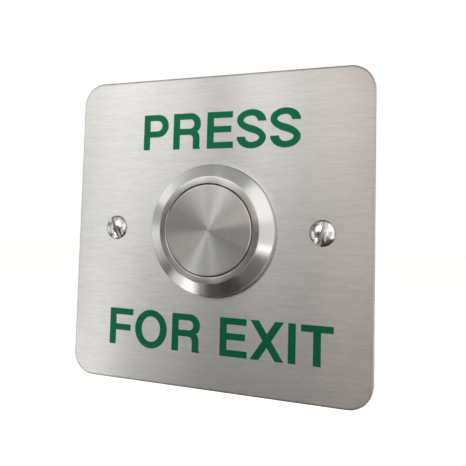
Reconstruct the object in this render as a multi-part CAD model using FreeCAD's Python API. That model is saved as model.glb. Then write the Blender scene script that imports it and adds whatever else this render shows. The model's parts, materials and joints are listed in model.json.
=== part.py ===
# Door exit button: a square steel wall plate with a large round push button in its middle.
#
# The plate screws to a wall box. Its bezel is the head of a threaded barrel, which a nut clamps
# through the plate. The cap slides in the barrel on a stem, pushes a plunger in the contact block
# behind, and comes back by a coil spring. Four screw terminals take the door wires.
#
# The origin is the middle of the plate's back face. The front faces -Y, the wall is at +Y, +Z is up.
# Round parts are turned about the Y axis, and depths along it run from front to back.
import FreeCAD
import Part
import math
import os

from FreeCAD import Vector

# Wall plate
plate_width = 86.0
plate_height = 86.0
plate_thickness = 1.5
plate_corner_radius = 6.4
plate_edge_radius = 0.3

# Screws that hold the plate to its wall box
fixing_centres = 60.3
fixing_screw_radius = 1.75
fixing_screw_length = 30.0
fixing_tip_chamfer = 0.5
fixing_head_radius = 3.4
fixing_head_crown = 0.95
fixing_slot_width = 1.0
fixing_slot_depth = 1.35
left_slot_lean = -23.0
right_slot_lean = 19.0
countersink_clearance = 0.03

# Printed legend: capitals of one height in two words above and below the button
cap_height = 10.2
letter_overshoot = 0.25
stem_width = 2.0
arm_width = 1.75
print_thickness = 0.06
legend_shift = 0.75
upper_word_gap = 4.5
lower_word_gap = 5.2
word_space = 3.85
corner_fullness = 0.56

# Bezel and threaded barrel
bezel_height = 3.4
bezel_rim_height = 1.5
bezel_edge_radius = 0.25
bezel_face_width = 1.9
bore_edge_break = 0.32
barrel_wall = 2.5
thread_end_chamfer = 0.6
plate_hole_clearance = 0.15
web_thickness = 2.0
gasket_land = 0.8
gasket_width = 1.4
gasket_rim = 0.8
gasket_thickness = 0.9

# Nut and lock washer behind the plate
nut_wall = 3.0
nut_thickness = 4.0
nut_corner_angle = 30.0
thread_clearance = 0.03
washer_width = 3.8
washer_thickness = 0.8
washer_teeth = 20
washer_notch_depth = 1.4

# Cap, stem and return spring
cap_radius = 12.3
cap_running_clearance = 0.2
skirt_wall = 4.1
cap_proud = 0.2
cap_edge_break = 0.15
cap_face_thickness = 2.2
cap_length = 6.6
button_travel = 2.5
stop_clearance = 0.05
spring_wire = 0.8
spring_turns = 4.5
spring_side_clearance = 0.4
spring_end_clearance = 0.02
seal_section = 1.36
seal_centre_depth = 4.2
seal_running_clearance = 0.04
seal_groove_side = 0.12
stem_radius = 3.0
stem_running_clearance = 0.1
clip_reach = 2.0
clip_thickness = 0.6
clip_clearance = 0.05
clip_groove_depth = 0.7
clip_ring_width = 1.5
clip_mouth_width = 4.4
stem_shoulder_length = 0.8
spigot_step = 1.4
spigot_length = 2.0

# Contact block
block_clearance = 0.1
block_wall = 1.2
block_front_wall = 1.5
clip_recess_margin = 0.3
plunger_step = 0.5
plunger_running_clearance = 0.1
plunger_web = 0.5
plunger_heel = 1.2
tail_radius = 1.8
tail_engagement = 0.6
pressed_clearance = 0.02
strip_thickness = 0.8
strip_width = 3.6
strip_corner_margin = 0.1
bend_radius = 0.5
strip_gap = 1.2
contact_radius = 1.5
contact_height = 0.4
rivet_radius = 0.75
contact_gap = 0.05
bridge_thickness = 0.5
bridge_width = 4.0
bridge_neck_width = 3.0
bridge_neck_clearance = 0.1
contact_spring_wire = 0.3
contact_spring_turns = 3.5
contact_spring_radius = 1.1

# Terminal base, its ring, and the wire screws
base_thickness = 3.0
slot_clearance = 0.05
circlip_thickness = 1.0
circlip_side_clearance = 0.1
circlip_seat_depth = 0.8
circlip_overlap = 0.65
circlip_mouth_angle = 44.0
barrel_end_land = 1.2
tab_width = 5.0
tab_end_margin = 0.2
rib_thickness = 1.6
rib_side_margin = 1.3
rib_past_screw = 1.4
tail_pocket_margin = 0.4
tail_boss_wall = 1.3
wire_screw_radius = 1.5
wire_screw_end_gap = 2.4
wire_head_radius = 2.6
wire_head_height = 1.8
wire_head_edge = 0.3
wire_slot_width = 0.8
wire_slot_depth = 0.9
clamp_front_margin = 0.6
clamp_thickness = 0.8
clamp_lip_depth = 0.7
clamp_lip_thickness = 0.25

# Depths along Y, chained from the plate's back face
plate_back = 0.0
plate_front = plate_back - plate_thickness
print_front = plate_front - print_thickness
bezel_front = plate_front - bezel_height
cap_front = bezel_front - cap_proud
cap_underside = cap_front + cap_face_thickness
skirt_end = cap_front + cap_length
web_front = skirt_end + button_travel + stop_clearance
web_back = web_front + web_thickness
clip_front = web_back + clip_clearance
clip_back = clip_front + clip_thickness
stem_shoulder = clip_back + stem_shoulder_length
spigot_end = stem_shoulder + spigot_length
recess_back = clip_back + button_travel + clip_recess_margin
cavity_front = recess_back + block_front_wall

# The contact stack: rest strip, contacts, moving bridge, contacts, pressed strip
rest_strip_back = cavity_front + strip_thickness
rest_contact_face = rest_strip_back + contact_height
bridge_front_face = rest_contact_face + contact_gap
bridge_front = bridge_front_face + contact_height
bridge_back = bridge_front + bridge_thickness
bridge_back_face = bridge_back + contact_height
pressed_contact_face = bridge_back_face + button_travel + contact_gap
pressed_strip_front = pressed_contact_face + contact_height
block_end = pressed_strip_front + strip_thickness

plunger_slot_front = spigot_end + plunger_web
plunger_end = bridge_back + plunger_heel
tail_end = block_end + tail_engagement
base_back = block_end + base_thickness
circlip_back = base_back + circlip_thickness
barrel_end = circlip_back + circlip_side_clearance + barrel_end_land
clamp_size = tab_width + 2 * (slot_clearance + clamp_lip_thickness)
wire_screw_depth = barrel_end + clamp_size / 2 + clamp_front_margin
tab_end = wire_screw_depth + clamp_size / 2 + tab_end_margin
rib_end = wire_screw_depth + rib_past_screw
pocket_end = tail_end + button_travel + tail_pocket_margin

# Radii and offsets that follow from the sizes above
bore_radius = cap_radius + cap_running_clearance
bezel_face_radius = bore_radius + bezel_face_width
thread_radius = bore_radius + barrel_wall
gasket_inner_radius = thread_radius + gasket_land
gasket_outer_radius = gasket_inner_radius + gasket_width
bezel_radius = gasket_outer_radius + gasket_rim
washer_radius = thread_radius + washer_width
upper_baseline = bezel_radius + upper_word_gap
lower_baseline = -bezel_radius - lower_word_gap - cap_height
skirt_bore = cap_radius - skirt_wall
spring_mean_radius = skirt_bore - spring_side_clearance - spring_wire / 2
seal_outer = bore_radius - seal_running_clearance
seal_centre_radius = seal_outer - seal_section / 2
seal_groove_radius = seal_outer - seal_section - pressed_clearance
stem_hole = stem_radius + stem_running_clearance
clip_radius = stem_radius + clip_reach
clip_groove_radius = stem_radius - clip_groove_depth
spigot_radius = stem_radius - spigot_step
plunger_radius = stem_radius + plunger_step
block_radius = bore_radius - block_clearance
cavity_radius = block_radius - block_wall
strip_inner_x = plunger_radius + strip_gap
strip_outer_x = strip_inner_x + strip_width
contact_offset = (strip_inner_x + strip_outer_x) / 2
leg_outer_z = math.sqrt((cavity_radius - strip_corner_margin) ** 2 - strip_outer_x ** 2)
leg_inner_z = leg_outer_z - strip_thickness
rib_reach = strip_outer_x + rib_side_margin
wire_screw_length = leg_outer_z + clamp_thickness - rib_thickness / 2 - wire_screw_end_gap
washer_back = plate_back + washer_thickness


def along(point_list):
    """Edges through (u, v) points on a sketch plane. A step of four numbers rounds a corner to its end."""
    edges = []
    here = point_list[0]
    for step in list(point_list[1:]) + [point_list[0]]:
        end = step[-2:]
        if len(step) == 4:
            corner = step[:2]
            leave = [a + (c - a) * corner_fullness for a, c in zip(here, corner)]
            arrive = [b + (c - b) * corner_fullness for b, c in zip(end, corner)]
            curve = Part.BezierCurve()
            curve.setPoles([Vector(u, 0, v) for u, v in (here, leave, arrive, end)])
            edges.append(curve.toShape())
        elif math.dist(here, end) > 1e-9:
            edges.append(Part.makeLine(Vector(here[0], 0, here[1]), Vector(end[0], 0, end[1])))
        here = end
    return Part.Wire(edges)


def turned(profile):
    """A solid turned about the Y axis from (radius, depth) points. A step of four numbers is an arc."""
    edges = []
    here = Vector(profile[0][0], profile[0][1], 0)
    for step in list(profile[1:]) + [profile[0]]:
        end = Vector(step[-2], step[-1], 0)
        if len(step) == 4:
            edges.append(Part.Arc(here, Vector(step[0], step[1], 0), end).toShape())
        elif here.distanceToPoint(end) > 1e-9:
            edges.append(Part.makeLine(here, end))
        here = end
    return Part.Face(Part.Wire(edges)).revolve(Vector(0, 0, 0), Vector(0, 1, 0), 360)


def rod(radius, front, back, x=0.0, z=0.0):
    return Part.makeCylinder(radius, back - front, Vector(x, front, z), Vector(0, 1, 0))


def block(x_range, y_range, z_range):
    low = Vector(min(x_range), min(y_range), min(z_range))
    return Part.makeBox(
        abs(x_range[1] - x_range[0]), abs(y_range[1] - y_range[0]), abs(z_range[1] - z_range[0]), low
    )


def coil(mean_radius, wire, turns, front, back):
    """A round-wire spring along Y, just clear of the two planes that it lies between."""
    start = front + wire / 2 + spring_end_clearance
    height = back - wire / 2 - spring_end_clearance - start
    path = Part.makeLongHelix(height / turns, height, mean_radius)
    ring = Part.Wire(Part.makeCircle(wire / 2, Vector(mean_radius, 0, 0), Vector(0, 1, 0)))
    solid = Part.Wire(path).makePipeShell([ring], True, True)
    solid.rotate(Vector(0, 0, 0), Vector(1, 0, 0), -90)
    solid.translate(Vector(0, start, 0))
    return solid


def facing(shape, axis, value):
    """Edges of a shape whose ends and middle all lie on one plane, such as y = value."""
    found = []
    for edge in shape.Edges:
        middle = edge.valueAt((edge.FirstParameter + edge.LastParameter) / 2)
        points = [v.Point for v in edge.Vertexes] + [middle]
        if all(abs(getattr(p, axis) - value) < 1e-6 for p in points):
            found.append(edge)
    return found


def running(shape, axis):
    """Straight edges of a shape that run along one axis."""
    direction = {"x": Vector(1, 0, 0), "y": Vector(0, 1, 0), "z": Vector(0, 0, 1)}[axis]
    straight = [e for e in shape.Edges if isinstance(e.Curve, Part.Line)]
    return [e for e in straight if abs(abs(e.tangentAt(e.FirstParameter).dot(direction)) - 1) < 1e-6]


# The wall plate and its screws
def head_sink(grow):
    """The countersunk seat of a fixing screw, grown all round by a clearance."""
    cone_depth = fixing_head_radius - fixing_screw_radius
    return turned([
        (0, plate_front), (fixing_head_radius + grow, plate_front),
        (fixing_screw_radius + grow, plate_front + cone_depth), (0, plate_front + cone_depth),
    ])


def face_plate():
    half_width, half_height = plate_width / 2, plate_height / 2
    plate = block((-half_width, half_width), (plate_front, plate_back), (-half_height, half_height))
    plate = plate.makeFillet(plate_corner_radius, running(plate, "y"))
    plate = plate.makeFillet(plate_edge_radius, facing(plate, "y", plate_front))
    plate = plate.cut(rod(thread_radius + plate_hole_clearance, plate_front, plate_back))
    for x in (-fixing_centres / 2, fixing_centres / 2):
        sink = head_sink(countersink_clearance)
        sink.translate(Vector(x, 0, 0))
        plate = plate.cut(sink)
        shank = rod(fixing_screw_radius + 2 * countersink_clearance, plate_front, plate_back, x)
        plate = plate.cut(shank)
    return plate


def fixing_screw(x, lean):
    """A raised countersunk screw with its slot leaning from upright."""
    crown = plate_front - fixing_head_crown
    ball = (fixing_head_radius ** 2 + fixing_head_crown ** 2) / (2 * fixing_head_crown)
    halfway = fixing_head_radius / 2
    halfway_depth = crown + ball - math.sqrt(ball ** 2 - halfway ** 2)
    neck = plate_front + fixing_head_radius - fixing_screw_radius
    tip = plate_front + fixing_screw_length
    screw = turned([
        (0, crown), (halfway, halfway_depth, fixing_head_radius, plate_front),
        (fixing_screw_radius, neck), (fixing_screw_radius, tip - fixing_tip_chamfer),
        (fixing_screw_radius - fixing_tip_chamfer, tip), (0, tip),
    ])
    half = fixing_slot_width / 2
    slot = block(
        (-half, half), (crown, crown + fixing_slot_depth), (-fixing_head_radius, fixing_head_radius)
    )
    slot.rotate(Vector(0, 0, 0), Vector(0, 1, 0), lean)
    screw = screw.cut(slot)
    screw.translate(Vector(x, 0, 0))
    return screw


def fixing_screws():
    half = fixing_centres / 2
    return Part.makeCompound([fixing_screw(-half, left_slot_lean), fixing_screw(half, right_slot_lean)])


# Letters of the legend. Each glyph is drawn from its own left edge and the baseline.
def sheet(outer, *holes):
    """A thin printed shape from closed outlines."""
    print_depth = Vector(0, print_thickness, 0)
    solid = Part.Face(along(outer)).extrude(print_depth)
    for hole in holes:
        solid = solid.cut(Part.Face(along(hole)).extrude(print_depth))
    return solid


def bowl_outline(width, depth, left=0.0, inset_side=0.0, inset_arm=0.0):
    """The closed D shape at the top of P and R: its right side is round."""
    top, bottom = cap_height - inset_arm, cap_height - depth + inset_arm
    right = width - inset_side
    middle, straight = (top + bottom) / 2, right - (top - bottom) / 2
    return [
        (left, top), (straight, top), (right, top, right, middle),
        (right, bottom, straight, bottom), (left, bottom),
    ]


def letter_p(width):
    depth = 0.64 * cap_height
    outer = bowl_outline(width, depth)[:-1] + [(stem_width, cap_height - depth), (stem_width, 0), (0, 0)]
    return sheet(outer, bowl_outline(width, depth, stem_width, stem_width, arm_width))


def letter_r(width):
    depth = 0.6 * cap_height
    under = cap_height - depth
    middle, straight = cap_height - depth / 2, width - depth / 2
    leg_right = width - 0.3
    leg_left = leg_right - stem_width
    waist = (width - 1.2, under + arm_width / 2)
    bend = 1.2
    outer = [
        (0, 0), (0, cap_height), (straight, cap_height), (width, cap_height, width, middle),
        (width, waist[1] + 0.3, *waist), (leg_right, waist[1] - 0.25, leg_right, under - bend),
        (leg_right, 0.8), (leg_right + 0.3, 0), (leg_left, 0), (leg_left, under - bend),
        (leg_left, under, leg_left - bend, under), (stem_width, under), (stem_width, 0),
    ]
    return sheet(outer, bowl_outline(width, depth, stem_width, stem_width, arm_width))


def letter_e(width):
    low, high = (cap_height - arm_width) / 2 + 0.2, (cap_height + arm_width) / 2 + 0.2
    short = width - 0.55
    return sheet([
        (0, 0), (width, 0), (width, arm_width), (stem_width, arm_width), (stem_width, low),
        (short, low), (short, high), (stem_width, high), (stem_width, cap_height - arm_width),
        (width - 0.2, cap_height - arm_width), (width - 0.2, cap_height), (0, cap_height),
    ])


def letter_f(width):
    low, high = (cap_height - arm_width) / 2 - 0.2, (cap_height + arm_width) / 2 - 0.2
    short = width - 0.7
    return sheet([
        (0, 0), (stem_width, 0), (stem_width, low), (short, low), (short, high), (stem_width, high),
        (stem_width, cap_height - arm_width), (width, cap_height - arm_width), (width, cap_height),
        (0, cap_height),
    ])


def oval(width, inset_side, inset_arm):
    left, right = inset_side, width - inset_side
    low, high = inset_arm - letter_overshoot, cap_height + letter_overshoot - inset_arm
    middle, half = cap_height / 2, width / 2
    return [
        (half, high), (right, high, right, middle), (right, low, half, low),
        (left, low, left, middle), (left, high, half, high),
    ]


def letter_o(width):
    return sheet(oval(width, 0, 0), oval(width, 1.05 * stem_width, 1.05 * arm_width))


def letter_s(width):
    """Two equal bowls and a sloping spine: one side drawn, the other is that side turned half round."""
    top = cap_height + letter_overshoot
    centre = (width / 2, cap_height / 2)
    spine_slope = 0.26
    spine_half = 0.52 * stem_width
    bowl_middle = 0.73 * cap_height
    inner_left = 0.95 * stem_width
    spine_top = (centre[0], centre[1] + spine_half)
    inner_top = top - arm_width
    mouth = (width - stem_width - 0.45, 0.705 * cap_height)
    side = [
        mouth, (mouth[0], inner_top, centre[0], inner_top),
        (inner_left, inner_top, inner_left, bowl_middle),
        (inner_left, spine_top[1] + spine_slope * (centre[0] - inner_left), *spine_top),
        (width, spine_top[1] - spine_slope * (width - centre[0]), width, cap_height - bowl_middle),
        (width, -letter_overshoot, centre[0], -letter_overshoot),
        (0, -letter_overshoot, 0.0, cap_height - mouth[1]),
    ]
    turned_side = [
        tuple(width - v if i % 2 == 0 else cap_height - v for i, v in enumerate(step)) for step in side
    ]
    return sheet(side + turned_side)


def letter_x(width):
    stroke = 1.17 * stem_width
    notch = cap_height * (width / 2 - stroke) / (width - stroke)
    side = [
        (0, 0), (stroke, 0), (width / 2, notch), (width - stroke, 0), (width, 0),
        ((width + stroke) / 2, cap_height / 2),
    ]
    return sheet(side + [(width - u, cap_height - v) for u, v in side])


def letter_i(width):
    return sheet([(0, 0), (width, 0), (width, cap_height), (0, cap_height)])


def letter_t(width):
    left, right = (width - stem_width) / 2, (width + stem_width) / 2
    under = cap_height - arm_width
    return sheet([
        (left, 0), (right, 0), (right, under), (width, under), (width, cap_height), (0, cap_height),
        (0, under), (left, under),
    ])


# Each glyph: space before, width, space after, and how it is drawn
glyphs = {
    "P": (1.0, 7.85, 0.6, letter_p),
    "R": (1.0, 8.4, 0.95, letter_r),
    "E": (1.0, 7.7, 0.5, letter_e),
    "S": (0.55, 8.3, 0.6, letter_s),
    "F": (1.0, 7.45, 0.2, letter_f),
    "O": (0.6, 10.0, 0.6, letter_o),
    "X": (0.35, 9.1, 0.1, letter_x),
    "I": (1.0, stem_width, 1.0, letter_i),
    "T": (0.3, 8.3, 0.3, letter_t),
}


def printed_line(words, baseline):
    """One line of the legend, centred on the button with the printer's small shift."""
    letters = []
    pen = 0.0
    for character in words:
        if character == " ":
            pen += word_space
            continue
        before, width, after, draw = glyphs[character]
        letters.append((pen + before, draw(width)))
        pen += before + width + after
    start = legend_shift - pen / 2
    for x, letter in letters:
        letter.translate(Vector(start + x, print_front, baseline))
    return [letter for _, letter in letters]


def legend_print():
    return Part.makeCompound(printed_line("PRESS", upper_baseline) + printed_line("FOR EXIT", lower_baseline))


# The bezel, its gasket, and what clamps it
def bezel_body():
    """The bezel, the threaded barrel and the web inside it, turned from one bar."""
    groove_back = circlip_back + circlip_side_clearance
    groove_radius = bore_radius + circlip_seat_depth
    gasket_top = plate_front - gasket_thickness
    body = turned([
        (bore_radius + bore_edge_break, bezel_front), (bezel_face_radius, bezel_front),
        (bezel_radius, plate_front - bezel_rim_height), (bezel_radius, plate_front),
        (gasket_outer_radius, plate_front), (gasket_outer_radius, gasket_top),
        (gasket_inner_radius, gasket_top), (gasket_inner_radius, plate_front),
        (thread_radius, plate_front), (thread_radius, barrel_end - thread_end_chamfer),
        (thread_radius - thread_end_chamfer, barrel_end), (bore_radius, barrel_end),
        (bore_radius, groove_back), (groove_radius, groove_back), (groove_radius, base_back),
        (bore_radius, base_back), (bore_radius, web_back), (stem_hole, web_back),
        (stem_hole, web_front), (bore_radius, web_front), (bore_radius, bezel_front + bore_edge_break),
    ])
    return body.makeFillet(bezel_edge_radius, facing(body, "y", plate_front - bezel_rim_height))


def bezel_gasket():
    """A flat rubber ring in the bezel's groove, squeezed against the plate."""
    top = plate_front - gasket_thickness
    return turned([
        (gasket_inner_radius, top), (gasket_outer_radius, top),
        (gasket_outer_radius, plate_front), (gasket_inner_radius, plate_front),
    ])


def lock_washer():
    """A thin ring with a toothed rim."""
    inner = thread_radius + plate_hole_clearance
    ring = turned([
        (inner, plate_back), (washer_radius, plate_back), (washer_radius, washer_back), (inner, washer_back),
    ])
    notch_width = math.pi * washer_radius / washer_teeth
    root = washer_radius - washer_notch_depth
    notch = block(
        (root, washer_radius + notch_width), (plate_back, washer_back), (-notch_width / 2, notch_width / 2)
    )
    for n in range(washer_teeth):
        cutter = notch.copy()
        cutter.rotate(Vector(0, 0, 0), Vector(0, 1, 0), 360.0 * n / washer_teeth)
        ring = ring.cut(cutter)
    return ring


def mounting_nut():
    """A hexagon nut with turned corners."""
    back = washer_back + nut_thickness
    flat_radius = thread_radius + nut_wall
    corner_radius = flat_radius / math.cos(math.pi / 6)
    corners = [
        Vector(corner_radius * math.cos(turn), washer_back, corner_radius * math.sin(turn))
        for turn in (math.pi * n / 3 for n in range(7))
    ]
    hexagon = Part.Face(Part.makePolygon(corners)).extrude(Vector(0, nut_thickness, 0))
    drop = (corner_radius - flat_radius) * math.tan(math.radians(nut_corner_angle))
    envelope = turned([
        (0, washer_back), (flat_radius, washer_back), (corner_radius, washer_back + drop),
        (corner_radius, back - drop), (flat_radius, back), (0, back),
    ])
    return hexagon.common(envelope).cut(rod(thread_radius + thread_clearance, washer_back, back))


# What slides: cap, seal, clip and plunger
def push_cap():
    """The cap with its skirt, seal groove, stem, clip groove and the spigot that carries the plunger."""
    groove_half = seal_section / 2 + seal_groove_side
    seal_depth = cap_front + seal_centre_depth
    return turned([
        (0, cap_front), (cap_radius - cap_edge_break, cap_front), (cap_radius, cap_front + cap_edge_break),
        (cap_radius, seal_depth - groove_half), (seal_groove_radius, seal_depth - groove_half),
        (seal_groove_radius, seal_depth + groove_half), (cap_radius, seal_depth + groove_half),
        (cap_radius, skirt_end), (skirt_bore, skirt_end), (skirt_bore, cap_underside),
        (stem_radius, cap_underside), (stem_radius, clip_front), (clip_groove_radius, clip_front),
        (clip_groove_radius, clip_back), (stem_radius, clip_back), (stem_radius, stem_shoulder),
        (spigot_radius, stem_shoulder), (spigot_radius, spigot_end), (0, spigot_end),
    ])


def cap_seal():
    section = Part.makeTorus(seal_centre_radius, seal_section / 2)
    section.rotate(Vector(0, 0, 0), Vector(1, 0, 0), 90)
    section.translate(Vector(0, cap_front + seal_centre_depth, 0))
    return section


def stem_clip():
    """A spring clip with three lugs in the stem's groove and a mouth below."""
    ring_inner = clip_radius - clip_ring_width
    ring = rod(clip_radius, clip_front, clip_back).cut(rod(ring_inner, clip_front, clip_back))
    lug_half = clip_ring_width / 2
    depth = (clip_front, clip_back)
    lugs = [
        block((-clip_radius + lug_half, clip_radius - lug_half), depth, (-lug_half, lug_half)),
        block((-lug_half, lug_half), depth, (0, clip_radius - lug_half)),
    ]
    clip = ring.fuse(lugs).removeSplitter()
    mouth_half = clip_mouth_width / 2
    mouth = block((-mouth_half, mouth_half), depth, (-clip_radius, -clip_groove_radius / 2))
    clip = clip.cut(mouth)
    return clip.cut(rod(clip_groove_radius + pressed_clearance, clip_front, clip_back))


def return_spring():
    return coil(spring_mean_radius, spring_wire, spring_turns, cap_underside, web_front)


def plunger():
    """The black plunger: a bore for the spigot, a slot for the bridge, and a guided tail."""
    body = rod(plunger_radius, stem_shoulder, plunger_end)
    body = body.fuse(rod(tail_radius, plunger_end, tail_end)).removeSplitter()
    body = body.cut(rod(spigot_radius + pressed_clearance, stem_shoulder, spigot_end + pressed_clearance))
    half = bridge_neck_width / 2 + bridge_neck_clearance
    slot = block((-plunger_radius, plunger_radius), (plunger_slot_front, bridge_back), (-half, half))
    return body.cut(slot)


def contact_spring():
    return coil(
        contact_spring_radius, contact_spring_wire, contact_spring_turns, plunger_slot_front, bridge_front
    )


def contact_bridge():
    """The moving strip that joins two contacts, necked where it passes through the plunger."""
    reach = strip_outer_x
    depth = (bridge_front, bridge_back)
    strip = block((-reach, reach), depth, (-bridge_width / 2, bridge_width / 2))
    neck_x = plunger_radius + bridge_neck_clearance
    for side in (-1, 1):
        waist = block((-neck_x, neck_x), depth, (side * bridge_neck_width / 2, side * bridge_width))
        strip = strip.cut(waist)
    for x in (-contact_offset, contact_offset):
        strip = strip.cut(rod(rivet_radius + pressed_clearance, bridge_front, bridge_back, x))
    return strip


def bridge_contacts():
    """Silver rivets with a face on each side of the bridge."""
    made = []
    for x in (-contact_offset, contact_offset):
        rivet = rod(contact_radius, bridge_front_face, bridge_front, x)
        rivet = rivet.fuse(rod(rivet_radius, bridge_front, bridge_back, x))
        rivet = rivet.fuse(rod(contact_radius, bridge_back, bridge_back_face, x))
        made.append(rivet.removeSplitter())
    return Part.makeCompound(made)


# The fixed contact block
def block_housing():
    """A black cup: a recess for the clip in front, a guide for the plunger, and the contact chamber."""
    cup = rod(block_radius, web_back, block_end)
    cup = cup.cut(rod(clip_radius + clip_recess_margin, web_back, recess_back))
    cup = cup.cut(rod(plunger_radius + plunger_running_clearance, recess_back, cavity_front))
    return cup.cut(rod(cavity_radius, cavity_front, block_end))


def terminal(side, up, front):
    """A folded brass terminal: a contact strip across the chamber, a leg through the base, a screw tab."""
    x_range = (side * strip_inner_x, side * strip_outer_x)
    strip = block(x_range, (front, front + strip_thickness), (-up * strip_width / 2, up * leg_outer_z))
    leg = block(x_range, (front, barrel_end), (up * leg_inner_z, up * leg_outer_z))
    tab_x = (side * (contact_offset - tab_width / 2), side * (contact_offset + tab_width / 2))
    tab = block(tab_x, (barrel_end, tab_end), (up * leg_inner_z, up * leg_outer_z))
    folded = strip.fuse([leg, tab]).removeSplitter()
    outside = [e for e in running(folded, "x") if same_line(e, front, up * leg_outer_z)]
    folded = folded.makeFillet(bend_radius, outside)
    rivet_hole = rod(
        rivet_radius + pressed_clearance, front, front + strip_thickness, side * contact_offset
    )
    return folded.cut(rivet_hole).cut(wire_hole(side, up))


def same_line(edge, y, z):
    point = edge.Vertexes[0].Point
    return abs(point.y - y) < 1e-6 and abs(point.z - z) < 1e-6


def wire_hole(side, up):
    low = min(up * leg_inner_z, up * leg_outer_z)
    centre = Vector(side * contact_offset, wire_screw_depth, low)
    return Part.makeCylinder(wire_screw_radius + pressed_clearance, strip_thickness, centre, Vector(0, 0, 1))


def fixed_contacts():
    """Silver rivets in the four strips: the upper pair faces back, the lower pair faces forward."""
    made = []
    for x in (-contact_offset, contact_offset):
        rest = rod(rivet_radius, cavity_front, rest_strip_back, x)
        made.append(rest.fuse(rod(contact_radius, rest_strip_back, rest_contact_face, x)).removeSplitter())
        pressed = rod(rivet_radius, pressed_strip_front, block_end, x)
        face = rod(contact_radius, pressed_contact_face, pressed_strip_front, x)
        made.append(pressed.fuse(face).removeSplitter())
    return Part.makeCompound(made)


def terminal_base():
    """The black base: a disc with four leg slots, barrier ribs between the wires and a pocket for the tail."""
    base = rod(block_radius, block_end, base_back)
    half = rib_thickness / 2
    upright = block((-half, half), (base_back, rib_end), (-rib_reach, rib_reach))
    level = block((-rib_reach, rib_reach), (base_back, rib_end), (-half, half))
    boss = rod(tail_radius + tail_boss_wall, base_back, pocket_end + tail_boss_wall)
    base = base.fuse([upright, level, boss]).removeSplitter()
    base = base.cut(rod(tail_radius + plunger_running_clearance, block_end, pocket_end))
    for side in (-1, 1):
        for up in (-1, 1):
            x_range = (side * (strip_inner_x - slot_clearance), side * (strip_outer_x + slot_clearance))
            z_range = (up * (leg_inner_z - slot_clearance), up * (leg_outer_z + slot_clearance))
            base = base.cut(block(x_range, (block_end, base_back), z_range))
    return base


def base_circlip():
    """A sprung ring in the barrel's groove that holds the contact block in."""
    outer = bore_radius + circlip_seat_depth - pressed_clearance
    inner = block_radius - circlip_overlap
    ring = rod(outer, base_back, circlip_back).cut(rod(inner, base_back, circlip_back))
    half = math.radians(circlip_mouth_angle / 2)
    reach = 2 * outer
    wedge = Part.makePolygon([
        Vector(0, base_back, 0), Vector(reach * math.sin(half), base_back, -reach * math.cos(half)),
        Vector(-reach * math.sin(half), base_back, -reach * math.cos(half)), Vector(0, base_back, 0),
    ])
    return ring.cut(Part.Face(wedge).extrude(Vector(0, circlip_thickness, 0)))


def outward(solid, side, up):
    """Moves a solid made about +Z at the origin to a terminal tab's outer face."""
    if up < 0:
        solid.rotate(Vector(0, 0, 0), Vector(0, 1, 0), 180)
    solid.translate(Vector(side * contact_offset, wire_screw_depth, up * leg_outer_z))
    return solid


def wire_screw(side, up):
    """A slotted cheese-head screw, its head outward of the tab."""
    shank = Part.makeCylinder(
        wire_screw_radius, wire_screw_length, Vector(0, 0, clamp_thickness - wire_screw_length)
    )
    head = Part.makeCylinder(wire_head_radius, wire_head_height, Vector(0, 0, clamp_thickness))
    top = clamp_thickness + wire_head_height
    head = head.makeChamfer(wire_head_edge, facing(head, "z", top))
    slot = block(
        (-wire_head_radius, wire_head_radius), (-wire_slot_width / 2, wire_slot_width / 2),
        (top - wire_slot_depth, top),
    )
    return outward(shank.fuse(head).removeSplitter().cut(slot), side, up)


def clamp_washer(side, up):
    """A square wire clamp with a lip at each side, under the screw's head."""
    half = clamp_size / 2
    lip = tab_width / 2 + slot_clearance
    plate = block((-half, half), (-half, half), (0, clamp_thickness))
    for edge in (-1, 1):
        plate = plate.fuse(block((edge * lip, edge * half), (-half, half), (-clamp_lip_depth, 0)))
    hole = Part.makeCylinder(wire_screw_radius + slot_clearance, clamp_thickness)
    return outward(plate.removeSplitter().cut(hole), side, up)


def at_each_terminal(make):
    return Part.makeCompound([make(side, up) for side in (-1, 1) for up in (-1, 1)])


nodes = {
    "face_plate": face_plate,
    "legend_print": legend_print,
    "fixing_screws": fixing_screws,
    "bezel_body": bezel_body,
    "bezel_gasket": bezel_gasket,
    "lock_washer": lock_washer,
    "mounting_nut": mounting_nut,
    "push_cap": push_cap,
    "cap_seal": cap_seal,
    "return_spring": return_spring,
    "stem_clip": stem_clip,
    "plunger": plunger,
    "contact_spring": contact_spring,
    "contact_bridge": contact_bridge,
    "bridge_contacts": bridge_contacts,
    "block_housing": block_housing,
    "rest_terminal_left": lambda: terminal(-1, 1, cavity_front),
    "rest_terminal_right": lambda: terminal(1, 1, cavity_front),
    "pressed_terminal_left": lambda: terminal(-1, -1, pressed_strip_front),
    "pressed_terminal_right": lambda: terminal(1, -1, pressed_strip_front),
    "fixed_contacts": fixed_contacts,
    "terminal_base": terminal_base,
    "base_circlip": base_circlip,
    "wire_screws": lambda: at_each_terminal(wire_screw),
    "clamp_washers": lambda: at_each_terminal(clamp_washer),
}

os.makedirs("parts", exist_ok=True)
for name, make in nodes.items():
    shape = make()
    shape.exportStep(f"parts/{name}.step")
    valid = "valid" if shape.isValid() else "NOT VALID"
    print(f"{name}: {len(shape.Solids)} solids, {shape.Volume:.2f} mm3, {valid}")
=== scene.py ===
# %% [markdown]
# # A door exit button
# A steel wall plate carries a large round push button. The solids come packed, at their real size and
# place, so this lesson dresses them: it gives every surface its finish, and makes again the few pieces
# whose threads and coils the solids leave plain. All lengths below are written in millimetres and turned
# into Blender's metres where they are used.

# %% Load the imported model
import json
import math

import bmesh
import bpy
from mathutils import Matrix, Vector


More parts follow.
